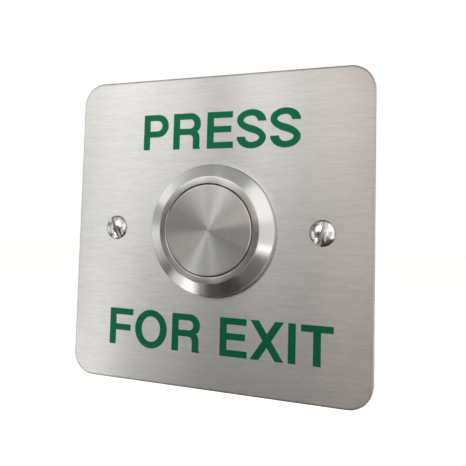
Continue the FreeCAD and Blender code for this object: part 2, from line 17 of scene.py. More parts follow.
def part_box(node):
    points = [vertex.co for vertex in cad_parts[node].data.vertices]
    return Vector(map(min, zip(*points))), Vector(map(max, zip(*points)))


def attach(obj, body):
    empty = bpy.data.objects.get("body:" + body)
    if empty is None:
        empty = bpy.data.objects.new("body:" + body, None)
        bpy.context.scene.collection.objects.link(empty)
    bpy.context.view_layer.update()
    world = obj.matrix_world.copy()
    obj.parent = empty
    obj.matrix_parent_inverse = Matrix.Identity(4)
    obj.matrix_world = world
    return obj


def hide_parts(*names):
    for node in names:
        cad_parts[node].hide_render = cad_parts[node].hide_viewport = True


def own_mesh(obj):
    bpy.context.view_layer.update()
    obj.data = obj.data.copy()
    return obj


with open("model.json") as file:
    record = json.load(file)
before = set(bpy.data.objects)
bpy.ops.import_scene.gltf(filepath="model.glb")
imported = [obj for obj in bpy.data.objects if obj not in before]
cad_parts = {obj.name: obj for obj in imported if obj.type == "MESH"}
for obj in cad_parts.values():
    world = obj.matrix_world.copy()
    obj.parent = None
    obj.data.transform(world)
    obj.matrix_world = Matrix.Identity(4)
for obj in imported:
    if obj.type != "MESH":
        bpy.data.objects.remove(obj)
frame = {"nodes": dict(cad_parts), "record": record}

for leftover in ("Cube", "Light", "Camera"):
    if leftover in bpy.data.objects:
        bpy.data.objects.remove(bpy.data.objects[leftover])

for blank in list(bpy.data.materials):
    bpy.data.materials.remove(blank)

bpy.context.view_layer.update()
nodes = frame["nodes"]
scene = bpy.context.scene
scene.view_settings.view_transform = "Standard"

# %% [markdown]
# ## Sizes read from the solids
# Pieces that are made again have to sit exactly where the solids are. Their driving sizes are read from
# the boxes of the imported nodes, so a changed model carries them along. Only what a box can't tell, such
# as the height of a rim or the pitch of a thread, is a named value here.

# %% Measure the solids in millimetres
MM = 0.001


def node_box(name):
    """The lowest and highest corner of a node, in millimetres."""
    low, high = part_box(name)
    return low / MM, high / MM


plate_low, plate_high = node_box("face_plate")
bezel_low, bezel_high = node_box("bezel_body")
gasket_low, gasket_high = node_box("bezel_gasket")
cap_low, cap_high = node_box("push_cap")
screw_low, screw_high = node_box("fixing_screws")
plate_front = plate_low.y
print("plate front at", round(plate_front, 2), "bezel front at", round(bezel_low.y, 2))

# %% [markdown]
# ## The camera
# The photograph was taken from close by, right of the button and level with it, so the right side of the
# plate looms larger than the left. A square of known size is enough to work out where such a camera
# stood: the values below come from a separate fit to the plate's edges and corners and the button's
# rings. The camera looks up a few degrees, and the frame is shifted down to make up for it, as in a
# picture that was cropped.

# %% Stand the camera where the photograph was taken
camera_place = Vector((53.26, -133.59, 1.54)) * MM
camera_heading = math.radians(19.80)
camera_pitch = math.radians(3.57)
camera_roll = math.radians(1.46)

camera_data = bpy.data.cameras.new("photo_camera")
camera_data.lens = 40.1
camera_data.sensor_width = 36.0
camera_data.shift_y = -0.0867
camera_data.clip_start = 5 * MM
camera = bpy.data.objects.new("photo_camera", camera_data)
turn = Matrix.Rotation(camera_heading, 4, "Z")
tilt = Matrix.Rotation(math.radians(90) + camera_pitch, 4, "X")
roll = Matrix.Rotation(camera_roll, 4, "Z")
camera.matrix_world = Matrix.Translation(camera_place) @ turn @ tilt @ roll
scene.collection.objects.link(camera)
scene.camera = camera
print("camera", [round(v, 3) for v in camera.location], "lens", camera_data.lens)

# %% [markdown]
# ## Small helpers for node trees
# A finish is a tree of nodes. Writing each node and each link out would bury the idea of the finish, so
# two helpers do it: one adds a node with its settings, the other plugs a value or another node's socket
# into an input. The rest are short names for what is used most: a sum, a range, a blend of two colours
# and a new group.

# %% Helpers that add and join nodes


def plug(tree, value, socket):
    """Joins a socket to an input, or writes a plain value in it."""
    if isinstance(value, bpy.types.NodeSocket):
        tree.links.new(value, socket)
    else:
        socket.default_value = value


def add(tree, kind, inputs=None, **settings):
    """Adds a node of a kind, with its settings and what goes into its inputs."""
    node = tree.nodes.new(kind)
    for name, value in settings.items():
        setattr(node, name, value)
    for key, value in (inputs or {}).items():
        plug(tree, value, node.inputs[key])
    return node


def math_node(tree, operation, first, second=0.0):
    """The result of a sum on one or two values."""
    node = add(tree, "ShaderNodeMath", {0: first, 1: second}, operation=operation)
    return node.outputs[0]


def span(tree, value, low, high, start=0.0, end=1.0, smooth=False):
    """A value moved from one range to another, held at the ends."""
    node = add(
        tree, "ShaderNodeMapRange",
        {"Value": value, "From Min": low, "From Max": high, "To Min": start, "To Max": end},
        interpolation_type="SMOOTHSTEP" if smooth else "LINEAR",
    )
    return node.outputs["Result"]


def blend_colour(tree, factor, first, second):
    """A colour between two others."""
    node = add(tree, "ShaderNodeMix", data_type="RGBA")
    plug(tree, factor, node.inputs["Factor"])
    plug(tree, first, node.inputs[6])
    plug(tree, second, node.inputs[7])
    return node.outputs[2]


def new_group(name, inputs, outputs):
    """A shader node group with named inputs and outputs. An input's kind follows from its default."""
    tree = bpy.data.node_groups.new(name, "ShaderNodeTree")
    for label, default in inputs.items():
        kind = "NodeSocketVector" if default is None else "NodeSocketFloat"
        socket = tree.interface.new_socket(name=label, in_out="INPUT", socket_type=kind)
        if default is not None:
            socket.default_value = default
    for label in outputs:
        tree.interface.new_socket(name=label, in_out="OUTPUT", socket_type="NodeSocketFloat")
    return tree, tree.nodes.new("NodeGroupInput").outputs, tree.nodes.new("NodeGroupOutput").inputs


print("helpers ready")

# %% [markdown]
# ## A studio for bright metal
# Steel has almost no colour of its own: what makes it look like steel is what it mirrors. A product
# studio surrounds it with white panels and leaves darker gaps between them. Lamps could do this, but a
# world painted by direction is simpler and has less noise: each panel is a soft rectangle, given by its
# azimuth and elevation as seen from the object. Azimuth 0 is straight out of the plate's front, and
# positive is to the right. The camera itself sees plain white.
# The values of the panels weren't chosen by hand. A separate program fitted all of them but right_fill to
# the photograph's brightness, with a simple model of how the steel mirrors. The results were rounded, and
# some were then changed. They belong to this photograph and say little about another one.

# %% A soft rectangle in the sky of the studio
panel_group, given, made = new_group(
    "studio_panel",
    {"Azimuth": 0.0, "Elevation": 0.0, "Centre azimuth": 0.0, "Centre elevation": 0.0,
     "Half width": 20.0, "Half height": 20.0, "Softness": 5.0},
    ["Cover"],
)


def edge_fade(place, centre, half, softness):
    """1 inside a strip of the sky, 0 outside, with a soft edge."""
    away = math_node(panel_group, "ABSOLUTE", math_node(panel_group, "SUBTRACT", place, centre))
    outer = math_node(panel_group, "ADD", half, softness)
    inner = math_node(panel_group, "SUBTRACT", half, softness)
    return span(panel_group, away, outer, inner, smooth=True)


across = edge_fade(given["Azimuth"], given["Centre azimuth"], given["Half width"], given["Softness"])
upright = edge_fade(given["Elevation"], given["Centre elevation"], given["Half height"], given["Softness"])
plug(panel_group, math_node(panel_group, "MULTIPLY", across, upright), made["Cover"])
print("group", panel_group.name, "made")

# %% Panels and flags around the object
# Centre azimuth and elevation, half width and half height, softness in degrees, and brightness.
# Fitted by a separate program, rounded, and partly changed by eye.
studio_gap = (0.58, 0.58, 0.575)
studio_panels = {
    "ceiling": (0, 90, 200, 34, 8, (0.12, 0.12, 0.12)),
    "top_shade": (-17, 58, 61, 12, 8, (0.35, 0.35, 0.35)),
    "low_shade": (-22, -56, 68, 34, 5, (0.06, 0.05, 0.046)),
    "left_wall": (-95, 18, 20, 29, 12, (1.55, 1.55, 1.54)),
    "left_flag": (-47, 5, 13, 31, 4.5, (0.01, 0.01, 0.01)),
    "right_wall": (62, 16, 30, 34, 5, (1.08, 1.07, 1.05)),
    "key_panel": (-24.6, 16, 14.1, 11, 8, (3.75, 3.75, 3.7)),
    "right_window": (33, 28, 15.5, 20, 3.7, (1.5, 1.5, 1.49)),
    "right_strip": (44, -18, 16, 3.4, 2.4, (2.6, 2.58, 2.55)),
    "front_flag": (-10, -15, 24.5, 24.5, 2.4, (0.01, 0.009, 0.008)),
    "front_slit": (-5, 8, 5, 6, 1.8, (3.0, 2.62, 2.46)),
    "right_fill": (13.5, 3, 4.5, 14, 2.5, (1.7, 1.69, 1.66)),
    "low_reflector": (-38.6, -34, 3.5, 13, 0.8, (4.3, 4.27, 4.2)),
    "low_wall": (-63, -39, 32, 7, 3.5, (1.18, 1.17, 1.15)),
    "low_corner": (-70, -48, 14, 6, 1.7, (2.3, 2.29, 2.25)),
    "left_window": (-96, 23, 12, 7.5, 2, (2.7, 2.7, 2.68)),
    "window_bar": (-78, 8, 8, 7, 4, (0.11, 0.11, 0.11)),
    "key_corner": (-32, 9, 3.6, 2.3, 1.7, (2.2, 2.2, 2.17)),
    "key_bar": (-22, 30, 2.5, 20, 1.6, (1.75, 1.75, 1.73)),
    "left_slit": (-52, -9, 3.6, 16, 2.4, (1.9, 1.9, 1.88)),
    "middle_slit": (-35, -13, 2.7, 5, 2.4, (0.6, 0.6, 0.59)),
    "right_slit": (4, -21, 3.7, 16, 2.2, (1.34, 1.22, 1.16)),
}
print("studio panels:", len(studio_panels))

# %% Paint the world with the panels
world = bpy.data.worlds.new("studio")
world.use_nodes = True
sky = world.node_tree
sky.nodes.clear()
direction = add(sky, "ShaderNodeTexCoord").outputs["Generated"]
ray = add(sky, "ShaderNodeSeparateXYZ", {0: direction}).outputs
towards_camera = math_node(sky, "MULTIPLY", ray["Y"], -1.0)
azimuth = math_node(sky, "DEGREES", math_node(sky, "ARCTAN2", ray["X"], towards_camera))
elevation = math_node(sky, "DEGREES", math_node(sky, "ARCSINE", ray["Z"]))
light = (*studio_gap, 1.0)
panel_labels = ("Centre azimuth", "Centre elevation", "Half width", "Half height", "Softness")
for name, (*panel_shape, brightness) in studio_panels.items():
    panel = add(sky, "ShaderNodeGroup", node_tree=panel_group, name=name, label=name)
    plug(sky, azimuth, panel.inputs["Azimuth"])
    plug(sky, elevation, panel.inputs["Elevation"])
    for label, value in zip(panel_labels, panel_shape):
        plug(sky, value, panel.inputs[label])
    light = blend_colour(sky, panel.outputs["Cover"], light, (*brightness, 1.0))
seen_by_camera = add(sky, "ShaderNodeLightPath").outputs["Is Camera Ray"]
shown = blend_colour(sky, seen_by_camera, light, (1.0, 1.0, 1.0, 1.0))
background = add(sky, "ShaderNodeBackground", {"Color": shown, "Strength": 1.0})
add(sky, "ShaderNodeOutputWorld", {"Surface": background.outputs[0]})
scene.world = world
print("world", world.name, "with", len(sky.nodes), "nodes")

# %% [markdown]
# ## The floor and a soft lamp
# The plate hangs on a wall in use, and here in the air, with a plain pale floor below it. The floor takes
# the object's soft shadow and is lifted to white for the camera. It is left out of mirror reflections,
# because the photograph's steel shows the darker low side of the studio there. One large lamp adds the
# light that paint and plastic need to show their colour; it isn't mirrored either, since the panels are.

# %% Floor
floor_drop = 120.0
floor_reach = 3000.0
floor_glow = 0.45
floor_mesh = bpy.data.meshes.new("floor")
floor_shape = bmesh.new()
bmesh.ops.create_grid(floor_shape, x_segments=8, y_segments=8, size=floor_reach * MM)
floor_shape.to_mesh(floor_mesh)
floor_shape.free()
floor = bpy.data.objects.new("floor", floor_mesh)
floor.location.z = -floor_drop * MM
floor.visible_glossy = False
scene.collection.objects.link(floor)

floor_finish = bpy.data.materials.new("pale_floor")
floor_finish.use_nodes = True
floor_tree = floor_finish.node_tree
floor_paint = floor_tree.nodes["Principled BSDF"]
floor_paint.inputs["Base Color"].default_value = (0.86, 0.86, 0.85, 1.0)
floor_paint.inputs["Roughness"].default_value = 0.9
floor_paint.inputs["Specular IOR Level"].default_value = 0.0
floor_paint.inputs["Emission Color"].default_value = (1.0, 1.0, 1.0, 1.0)
for_camera = add(floor_tree, "ShaderNodeLightPath").outputs["Is Camera Ray"]
glow = math_node(floor_tree, "MULTIPLY", for_camera, floor_glow)
plug(floor_tree, glow, floor_paint.inputs["Emission Strength"])
floor_mesh.materials.append(floor_finish)
print("floor at", round(floor.location.z, 3))

# %% Soft lamp
lamp_place = Vector((-250.0, -600.0, 550.0))
lamp_width = 600.0
lamp_data = bpy.data.lights.new("soft_lamp", "AREA")
lamp_data.shape = "DISK"
lamp_data.size = lamp_width * MM
lamp_data.energy = 2.2
lamp = bpy.data.objects.new("soft_lamp", lamp_data)
lamp.location = lamp_place * MM
lamp.rotation_euler = (-lamp_place).to_track_quat("-Z", "Y").to_euler()
lamp.visible_glossy = False
scene.collection.objects.link(lamp)
print("lamp", round(lamp_data.energy, 2), "W")

# %% [markdown]
# ## Marks that tools leave in metal
# The plate was pulled under a belt of grit, so its surface is thousands of straight fine lines. The cap
# and the bezel were cut and polished in a lathe, so their lines run in rings. Both are the same idea:
# noise stretched a long way in one direction. Each is a node group, so every metal here can use it at its
# own scale. The ring group also paints sheen: wide wedges of lighter and darker colour around the axis.

# %% Straight grain, from a grit belt
grain_group, given, made = new_group(
    "straight_grain", {"Position": None, "Lines per mm": 6.0, "Line length": 14.0}, ["Tone", "Height"]
)
place = add(grain_group, "ShaderNodeSeparateXYZ", {0: given["Position"]}).outputs


def stretched_noise(tree, along, across, depth, detail, roughness):
    """Noise over a position that is squeezed along the lines."""
    vector = add(tree, "ShaderNodeCombineXYZ", {0: along, 1: across, 2: depth}).outputs[0]
    noise = add(tree, "ShaderNodeTexNoise", {"Vector": vector, "Scale": 1.0})
    noise.inputs["Detail"].default_value = detail
    noise.inputs["Roughness"].default_value = roughness
    return noise.outputs["Fac"]


bands_per_mm = 0.9
shorter_lines = 3.6
fine_share = 0.75
along = math_node(grain_group, "DIVIDE", place["X"], given["Line length"])
across = math_node(grain_group, "MULTIPLY", place["Z"], given["Lines per mm"])
broad = math_node(grain_group, "MULTIPLY", place["Z"], bands_per_mm)
short = math_node(grain_group, "MULTIPLY", along, shorter_lines)
fine_lines = stretched_noise(grain_group, short, across, place["Y"], 4.0, 0.75)
broad_bands = stretched_noise(grain_group, along, broad, place["Y"], 4.0, 0.7)
mixed = math_node(grain_group, "ADD", math_node(grain_group, "MULTIPLY", fine_lines, fine_share),
                  math_node(grain_group, "MULTIPLY", broad_bands, 1 - fine_share))
plug(grain_group, mixed, made["Tone"])
plug(grain_group, fine_lines, made["Height"])
print("group", grain_group.name, "made")

# %% Ring grain from a lathe, with painted sheen wedges
grain_sheen_group, given, made = new_group(
    "turned_grain_and_sheen", {"Position": None, "Rings per mm": 5.0, "Relief per mm": 1.3, "Sectors per turn": 3.0},
    ["Tone", "Height", "Sheen wedges", "Radius"],
)
place = add(grain_sheen_group, "ShaderNodeSeparateXYZ", {0: given["Position"]}).outputs
flat_place = add(grain_sheen_group, "ShaderNodeCombineXYZ", {0: place["X"], 2: place["Z"]}).outputs[0]
radius = add(grain_sheen_group, "ShaderNodeVectorMath", {0: flat_place}, operation="LENGTH").outputs["Value"]
around = add(grain_sheen_group, "ShaderNodeVectorMath", {0: flat_place}, operation="NORMALIZE").outputs[0]
heading = add(grain_sheen_group, "ShaderNodeSeparateXYZ", {0: around}).outputs
depth_share = math_node(grain_sheen_group, "ADD", radius, place["Y"])
rings = math_node(grain_sheen_group, "MULTIPLY", depth_share, given["Rings per mm"])
ring_noise = stretched_noise(grain_sheen_group, rings, heading["X"], heading["Z"], 3.0, 0.65)
relief_rings = math_node(grain_sheen_group, "MULTIPLY", depth_share, given["Relief per mm"])
ring_relief = stretched_noise(grain_sheen_group, relief_rings, 0.0, 0.0, 0.0, 0.5)
# Painted sheen: noise around the axis makes lighter and darker wedges, like the lathe's fanned reflection.
wide_x = math_node(grain_sheen_group, "MULTIPLY", heading["X"], given["Sectors per turn"])
wide_z = math_node(grain_sheen_group, "MULTIPLY", heading["Z"], given["Sectors per turn"])
sheen_wedge_noise = stretched_noise(grain_sheen_group, wide_x, wide_z, 3.3, 1.0, 0.5)
plug(grain_sheen_group, radius, made["Radius"])
plug(grain_sheen_group, ring_noise, made["Tone"])
plug(grain_sheen_group, ring_relief, made["Height"])
plug(grain_sheen_group, span(grain_sheen_group, sheen_wedge_noise, 0.3, 0.7), made["Sheen wedges"])
print("group", grain_sheen_group.name, "made")

# %% [markdown]
# ## Traces of handling, and moulded skins
# New steel still carries faint clouds where a cloth or a finger passed, which show as a small change of
# gloss or tone. Moulded plastic and rubber have a fine skin that keeps their highlights broad. Both
# effects are small, and without them the surfaces look computed.

# %% Handling clouds and moulded grain


def noise_of_size(tree, position, size, detail):
    """Noise over a position, with patches about as wide as a size in millimetres."""
    sides = add(tree, "ShaderNodeCombineXYZ", {0: size, 1: size, 2: size}).outputs[0]
    scaled = add(tree, "ShaderNodeVectorMath", {0: position, 1: sides}, operation="DIVIDE").outputs[0]
    return add(tree, "ShaderNodeTexNoise", {"Vector": scaled, "Scale": 1.0, "Detail": detail}).outputs["Fac"]


cloud_group, given, made = new_group("handling_clouds", {"Position": None, "Size": 18.0}, ["Cloud"])
clouds = noise_of_size(cloud_group, given["Position"], given["Size"], 5.0)
plug(cloud_group, span(cloud_group, clouds, 0.35, 0.7), made["Cloud"])

skin_group, given, made = new_group("moulded_skin", {"Position": None, "Grain": 0.25}, ["Tone", "Height"])
pores = noise_of_size(skin_group, given["Position"], given["Grain"], 3.0)
plug(skin_group, pores, made["Tone"])
plug(skin_group, pores, made["Height"])
print("groups", cloud_group.name, "and", skin_group.name, "made")

# %% [markdown]
# ## The finishes
# Each finish is one material. What is the same all over the surface, such as how metallic it is, is set
# on the shader itself. What changes from place to place comes from the groups. A brushed or turned metal
# blurs what it mirrors across its lines, so its shader is given the direction across them.

# %% Helpers shared by the finishes


def new_finish(name, metallic=0.0, anisotropic=0.0, ior_level=0.5):
    """A material with its shader and its position on the object in millimetres."""
    finish = bpy.data.materials.new(name)
    finish.use_nodes = True
    tree = finish.node_tree
    shader = tree.nodes["Principled BSDF"]
    shader.inputs["Metallic"].default_value = metallic
    shader.inputs["Anisotropic"].default_value = anisotropic
    shader.inputs["Specular IOR Level"].default_value = ior_level
    metres = add(tree, "ShaderNodeTexCoord").outputs["Object"]
    scaled = add(tree, "ShaderNodeVectorMath", {0: metres, 1: (1000, 1000, 1000)}, operation="MULTIPLY")
    return finish, tree, shader, scaled.outputs[0]


def use_group(tree, group, **values):
    """Places a node group in a material. Underscores in a name stand for spaces."""
    node = add(tree, "ShaderNodeGroup", node_tree=group)
    for key, value in values.items():
        plug(tree, value, node.inputs[key.replace("_", " ")])
    return node.outputs


def relief(tree, shader, height, strength, depth_mm):
    """Fine relief on a surface, from a height."""
    bump = add(tree, "ShaderNodeBump", {"Height": height, "Strength": strength, "Distance": depth_mm * MM})
    plug(tree, bump.outputs["Normal"], shader.inputs["Normal"])


def outward(tree, position):
    """The direction away from the button's axis, which runs along Y."""
    flat = add(tree, "ShaderNodeVectorMath", {0: position, 1: (1, 0, 1)}, operation="MULTIPLY")
    return add(tree, "ShaderNodeVectorMath", {0: flat.outputs[0]}, operation="NORMALIZE").outputs[0]


finishes = {}
print("finish helpers ready")

# %% [markdown]
# ### The plate
# The plate is stainless sheet, brushed from side to side. A picture of brushed steel could be laid over
# it, but its lines would stretch and repeat. Noise that is long in one direction stays sharp from close
# by, so the grain group gives the tone, the gloss and a faint relief. The lines blur what they mirror up
# and down, which is why the shader's tangent points upward. A narrow darker line along the plate's edge,
# strongest above and below, is painted shade: it stands in for the dark parts of the studio that the
# rounded edge mirrors, and the distance to the rounded outline darkens the colour.

# %% Brushed plate steel
corner_radius = 6.4
edge_starts = 0.7
edge_full = 0.25
ends_start = 36.0
ends_full = 42.0
edge_on_sides = 0.25


def past(tree, coordinate, limit):
    """How far a coordinate lies beyond a limit, on either side, or 0."""
    beyond = math_node(tree, "SUBTRACT", math_node(tree, "ABSOLUTE", coordinate), limit)
    return math_node(tree, "MAXIMUM", beyond)


finish, tree, shader, position = new_finish("plate_steel", metallic=1.0, anisotropic=1.0)
grain = use_group(tree, grain_group, Position=position, Lines_per_mm=3.0, Line_length=14.0)
clouds = use_group(tree, cloud_group, Position=position, Size=22.0)
tone = span(tree, grain["Tone"], 0.35, 0.65)
steel = blend_colour(tree, tone, (0.58, 0.57, 0.55, 1), (0.72, 0.71, 0.69, 1))
place = add(tree, "ShaderNodeSeparateXYZ", {0: position}).outputs
corner_centre = plate_high.x - corner_radius
past_x = past(tree, place["X"], corner_centre)
past_z = past(tree, place["Z"], corner_centre)
past_corner = add(tree, "ShaderNodeCombineXYZ", {0: past_x, 2: past_z}).outputs[0]
from_corner = add(tree, "ShaderNodeVectorMath", {0: past_corner}, operation="LENGTH").outputs["Value"]
# Painted shade: a narrow dark line along the rounded outline, strongest at the top and bottom, for the dark
# studio that the edge mirrors.
edge = span(tree, from_corner, corner_radius - edge_starts, corner_radius - edge_full, smooth=True)
level = span(tree, math_node(tree, "ABSOLUTE", place["Z"]), ends_start, ends_full, edge_on_sides, 1.0)
painted_edge_shade = math_node(tree, "MULTIPLY", edge, level)
plug(tree, blend_colour(tree, painted_edge_shade, steel, (0.32, 0.315, 0.30, 1)), shader.inputs["Base Color"])
gloss = math_node(tree, "ADD", span(tree, grain["Tone"], 0.3, 0.7, 0.28, 0.30),
                  span(tree, clouds["Cloud"], 0.0, 1.0, 0.0, 0.025))
plug(tree, gloss, shader.inputs["Roughness"])
upward = add(tree, "ShaderNodeCombineXYZ", {2: 1.0}).outputs[0]
plug(tree, upward, shader.inputs["Tangent"])
relief(tree, shader, grain["Height"], 0.12, 0.01)
finishes["plate_steel"] = finish
print("finish", finish.name)

# %% [markdown]
# ### The printed words
# The words are a thin coat of green ink, which follows the brushed lines and lets some of the metal's
# shine through. Plain paint would look flat beside the steel. So the ink is mostly metallic with a deep
# green colour, blurs what it mirrors in the same direction as the steel, and is a little duller.

# %% Green ink over the brushed steel
ink_dark = (0.004, 0.125, 0.055, 1)
ink_light = (0.009, 0.145, 0.068, 1)
finish, tree, shader, position = new_finish("legend_green", metallic=0.75, anisotropic=0.9, ior_level=0.2)
grain = use_group(tree, grain_group, Position=position, Lines_per_mm=3.0, Line_length=14.0)
clouds = use_group(tree, cloud_group, Position=position, Size=5.0)
tone = math_node(tree, "ADD", span(tree, grain["Tone"], 0.35, 0.65, 0.0, 0.6),
                 math_node(tree, "MULTIPLY", clouds["Cloud"], 0.4))
plug(tree, blend_colour(tree, tone, ink_dark, ink_light), shader.inputs["Base Color"])
plug(tree, span(tree, grain["Tone"], 0.3, 0.7, 0.33, 0.38), shader.inputs["Roughness"])
upward = add(tree, "ShaderNodeCombineXYZ", {2: 1.0}).outputs[0]
plug(tree, upward, shader.inputs["Tangent"])
relief(tree, shader, grain["Height"], 0.1, 0.01)
finishes["legend_green"] = finish
print("finish", finish.name)

# %% [markdown]
# ### The turned cap and bezel
# A lathe leaves rings that are too fine to see one by one. Together they fan a reflection out across
# themselves, which makes the bright and dark wedges on the cap. Real grooves would need millions of
# faces. A shader that blurs outward from the axis gives the same wedges, and the ring group adds an
# uneven tone and painted sheen: lighter and darker wedges in the colour, standing in for part of the
# fanned reflection. The side of the cap slides in the bore and is seen only down a narrow gap, so
# painted shade darkens it.

# %% Turned steel of the cap and the bezel


def turned_steel(name, dark, light, gloss_range, anisotropic, rings_per_mm, relief_strength, side=None):
    """Lathe-turned stainless steel about the button's axis, with painted sheen wedges. A side that slides in
    a bore gets painted shade.
    """
    finish, tree, shader, position = new_finish(name, metallic=1.0, anisotropic=anisotropic)
    grain = use_group(tree, grain_sheen_group, Position=position, Rings_per_mm=rings_per_mm)
    # Half of the tone is painted sheen: the wedges stand in for the fanned reflection.
    tone = math_node(tree, "ADD", span(tree, grain["Tone"], 0.3, 0.7, 0.0, 0.5),
                     math_node(tree, "MULTIPLY", grain["Sheen wedges"], 0.5))
    steel = blend_colour(tree, tone, dark, light)
    # Painted shade: the side seen down the narrow gap to the bore is darkened, as little light reaches it.
    if side:
        depth = add(tree, "ShaderNodeSeparateXYZ", {0: position}).outputs["Y"]
        behind = span(tree, depth, side["front"], side["front"] + 0.2, smooth=True)
        outside = span(tree, grain["Radius"], side["radius"] - 0.4, side["radius"] - 0.1)
        on_side = math_node(tree, "MULTIPLY", behind, outside)
        steel = blend_colour(tree, on_side, steel, (0.06, 0.06, 0.055, 1))
    plug(tree, steel, shader.inputs["Base Color"])
    plug(tree, span(tree, grain["Sheen wedges"], 0.0, 1.0, *gloss_range), shader.inputs["Roughness"])
    plug(tree, outward(tree, position), shader.inputs["Tangent"])
    relief(tree, shader, grain["Height"], relief_strength, 0.006)
    finishes[name] = finish


cap_gap_shade = {"front": cap_low.y + 0.12, "radius": cap_high.x}
turned_steel(
    "cap_steel", (0.50, 0.495, 0.48, 1), (0.63, 0.62, 0.60, 1), gloss_range=(0.285, 0.34),
    anisotropic=0.94, rings_per_mm=6.0, relief_strength=0.15, side=cap_gap_shade,
)
turned_steel(
    "bezel_steel", (0.60, 0.59, 0.575, 1), (0.70, 0.69, 0.675, 1), gloss_range=(0.225, 0.265),
    anisotropic=0.9, rings_per_mm=8.0, relief_strength=0.08,
)
print("finishes", list(finishes))

# %% [markdown]
# ### Springs, nuts, washers and contacts
# These are bought parts, plated or left bright. They differ in colour and gloss and hardly in texture, so
# one function makes them all: two tones that drift into each other with the handling clouds, an uneven
# gloss and a very fine skin.

# %% Polished and plated metals


def plated_metal(name, dark, light, roughness, roughness_spread):
    """Polished or plated metal with a faint uneven gloss."""
    finish, tree, shader, position = new_finish(name, metallic=1.0)
    clouds = use_group(tree, cloud_group, Position=position, Size=4.0)
    plug(tree, blend_colour(tree, clouds["Cloud"], dark, light), shader.inputs["Base Color"])
    gloss = span(tree, clouds["Cloud"], 0.0, 1.0, roughness, roughness + roughness_spread)
    plug(tree, gloss, shader.inputs["Roughness"])
    grain = use_group(tree, skin_group, Position=position, Grain=0.12)
    relief(tree, shader, grain["Height"], 0.06, 0.01)
    finishes[name] = finish


plated_metal("spring_steel", (0.42, 0.42, 0.41, 1), (0.52, 0.52, 0.51, 1), 0.28, 0.08)
plated_metal("zinc_steel", (0.52, 0.55, 0.58, 1), (0.66, 0.68, 0.70, 1), 0.28, 0.12)
plated_metal("nickel_brass", (0.60, 0.57, 0.51, 1), (0.70, 0.67, 0.61, 1), 0.17, 0.09)
plated_metal("terminal_brass", (0.70, 0.50, 0.20, 1), (0.84, 0.64, 0.30, 1), 0.28, 0.12)
plated_metal("bridge_copper", (0.66, 0.36, 0.22, 1), (0.78, 0.46, 0.30, 1), 0.28, 0.1)
plated_metal("contact_silver", (0.80, 0.79, 0.76, 1), (0.90, 0.89, 0.87, 1), 0.12, 0.1)
print("finishes", len(finishes))

# %% [markdown]
# ### The steel of the front screws
# The domed heads are polished, while the slot keeps the dull look of a cut. A second material would need
# the slot's faces picked out. But the dome is part of a sphere, so how far a point lies below that sphere
# tells a cut surface from a polished one, and a mask does the rest. Where the head meets its seat,
# painted shade darkens its colour.

# %% Screw steel, polished on the dome and dull where it is cut
head_radius = 3.4
cut_starts = 0.08
cut_full = 0.22
cut_dullness = 0.22
seat_starts = 0.55
seat_full = 0.15
seat_darkness = 0.8
fixing_x = screw_high.x - head_radius
crown = screw_low.y
crown_rise = plate_front - crown
dome = (head_radius ** 2 + crown_rise ** 2) / (2 * crown_rise)

finish, tree, shader, position = new_finish("screw_steel", metallic=1.0)
place = add(tree, "ShaderNodeSeparateXYZ", {0: position}).outputs
sideways = math_node(tree, "SUBTRACT", math_node(tree, "ABSOLUTE", place["X"]), fixing_x)
from_axis = add(tree, "ShaderNodeCombineXYZ", {0: sideways, 2: place["Z"]}).outputs[0]
radius = add(tree, "ShaderNodeVectorMath", {0: from_axis}, operation="LENGTH").outputs["Value"]
fall = math_node(tree, "DIVIDE", math_node(tree, "POWER", radius, 2.0), 2 * dome)
below_dome = math_node(tree, "SUBTRACT", math_node(tree, "SUBTRACT", place["Y"], crown), fall)
cut = span(tree, below_dome, cut_starts, cut_full, smooth=True)
clouds = use_group(tree, cloud_group, Position=position, Size=2.0)
polished = blend_colour(tree, clouds["Cloud"], (0.70, 0.695, 0.68, 1), (0.78, 0.775, 0.76, 1))
# Painted shade: the head's colour darkens towards the rim, where it meets its seat.
painted_seat_shade = span(
    tree, radius, head_radius - seat_starts, head_radius - seat_full, 0.0, seat_darkness, smooth=True,
)
polished = blend_colour(tree, painted_seat_shade, polished, (0.16, 0.16, 0.15, 1))
plug(tree, blend_colour(tree, cut, polished, (0.64, 0.635, 0.61, 1)), shader.inputs["Base Color"])
gloss = span(tree, clouds["Cloud"], 0.0, 1.0, 0.17, 0.25)
dullness = math_node(tree, "MULTIPLY", cut, cut_dullness)
plug(tree, math_node(tree, "ADD", gloss, dullness), shader.inputs["Roughness"])
grain = use_group(tree, skin_group, Position=position, Grain=0.12)
relief(tree, shader, grain["Height"], 0.06, 0.01)
finishes["screw_steel"] = finish
print("finish", finish.name, "dome radius", round(dome, 2))

# %% [markdown]
# ### Rubber and plastic
# The seals are black rubber, and the contact block and its plunger are moulded plastic. Neither is quite
# smooth: the skin of the mould keeps highlights soft. The colour moves a little with the clouds, and the
# gloss and the relief with the skin.

# %% Rubber and moulded plastic


def moulded(name, dark, light, rough_low, rough_high, grain_mm, relief_strength):
    """Moulded plastic or rubber with a fine skin."""
    finish, tree, shader, position = new_finish(name, ior_level=0.45)
    skin = use_group(tree, skin_group, Position=position, Grain=grain_mm)
    clouds = use_group(tree, cloud_group, Position=position, Size=6.0)
    plug(tree, blend_colour(tree, clouds["Cloud"], dark, light), shader.inputs["Base Color"])
    gloss = span(tree, skin["Tone"], 0.3, 0.7, rough_low, rough_high)
    plug(tree, gloss, shader.inputs["Roughness"])
    relief(tree, shader, skin["Height"], relief_strength, 0.02)
    finishes[name] = finish


